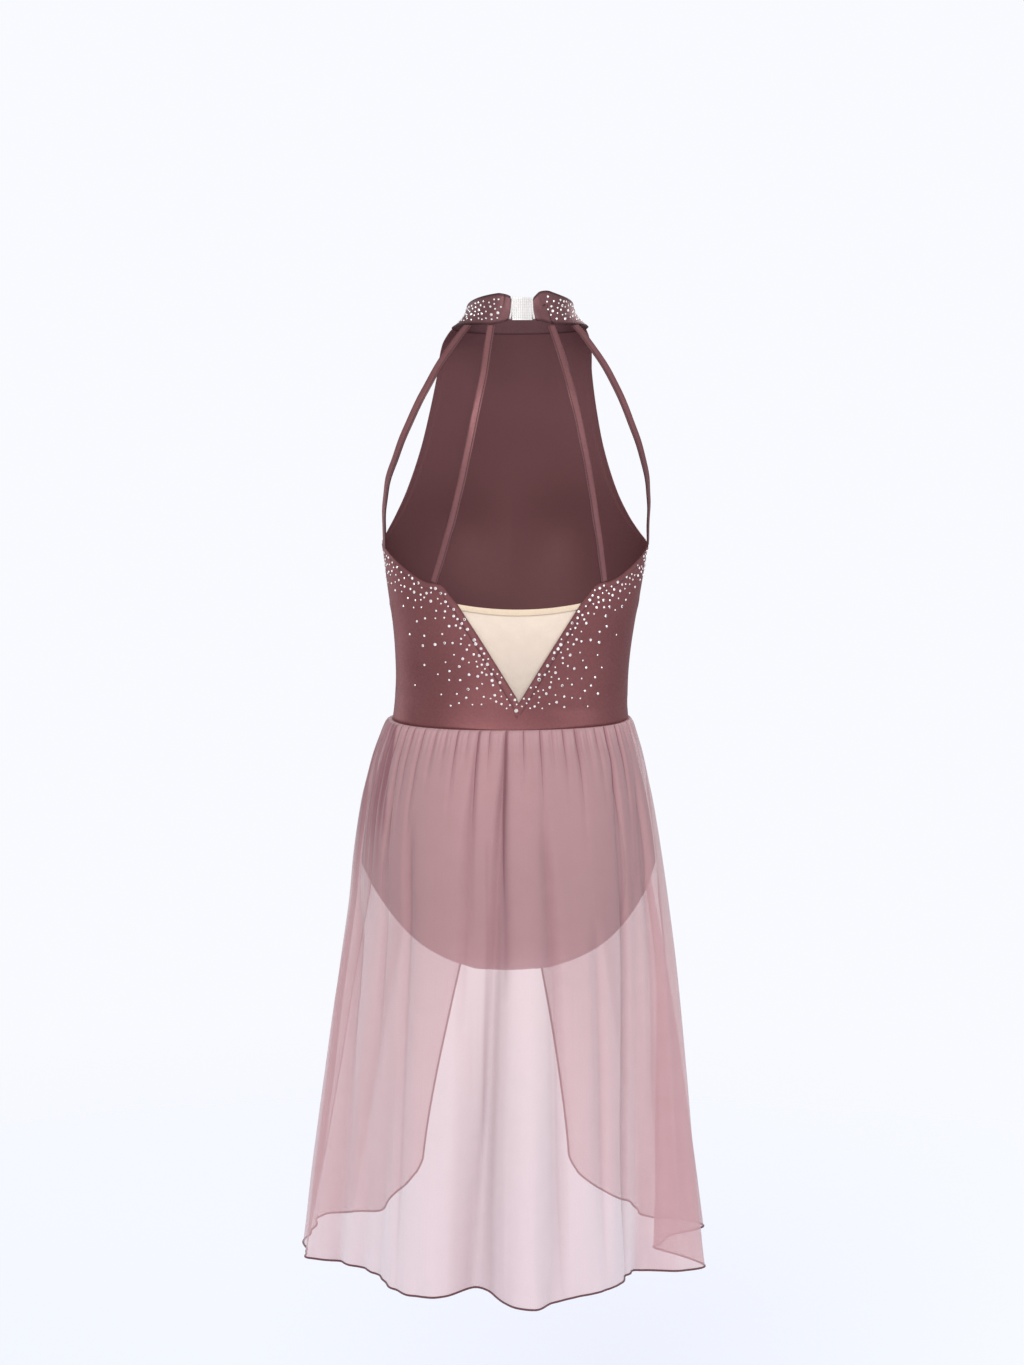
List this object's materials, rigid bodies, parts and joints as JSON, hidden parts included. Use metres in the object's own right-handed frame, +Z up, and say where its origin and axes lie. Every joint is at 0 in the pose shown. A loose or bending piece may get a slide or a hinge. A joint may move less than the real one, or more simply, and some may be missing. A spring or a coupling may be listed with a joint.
{
  "type": "lyrical dance dress",
  "caption": "Halter dance dress with strappy open back, V mesh insert, attached brief and a gathered sheer skirt open in front, in its hollow worn form.",
  "frame": {"origin": "centre of the neck opening, half way up the collar, where the wearer's neck holds the dress", "axes": "+Z up, the front of the dress faces -Y, its back +Y, the wearer's left is +X"},
  "size_m": [0.4245, 0.3596, 0.9787],
  "materials": {
    "spandex": "dusty mauve stretch cloth with a soft metallic sheen",
    "strap_cloth": "the same cloth, doubled and stitched",
    "chiffon": "dusty rose, sheer, matt",
    "power_mesh": "nude stretch mesh",
    "elastic": "nude woven elastic",
    "clear_plastic": "clear ribbed plastic"
  },
  "bodies": {
    "root": {"collar": "spandex", "back_clasp": "clear_plastic", "outer_strap_left": "strap_cloth", "inner_strap_left": "strap_cloth", "outer_strap_right": "strap_cloth", "inner_strap_right": "strap_cloth", "front_bodice": "spandex", "back_bodice": "spandex", "mesh_insert": "power_mesh", "insert_elastic": "elastic", "brief_back": "spandex", "brief_front": "spandex", "skirt": "chiffon"}
  },
  "joints": []
}
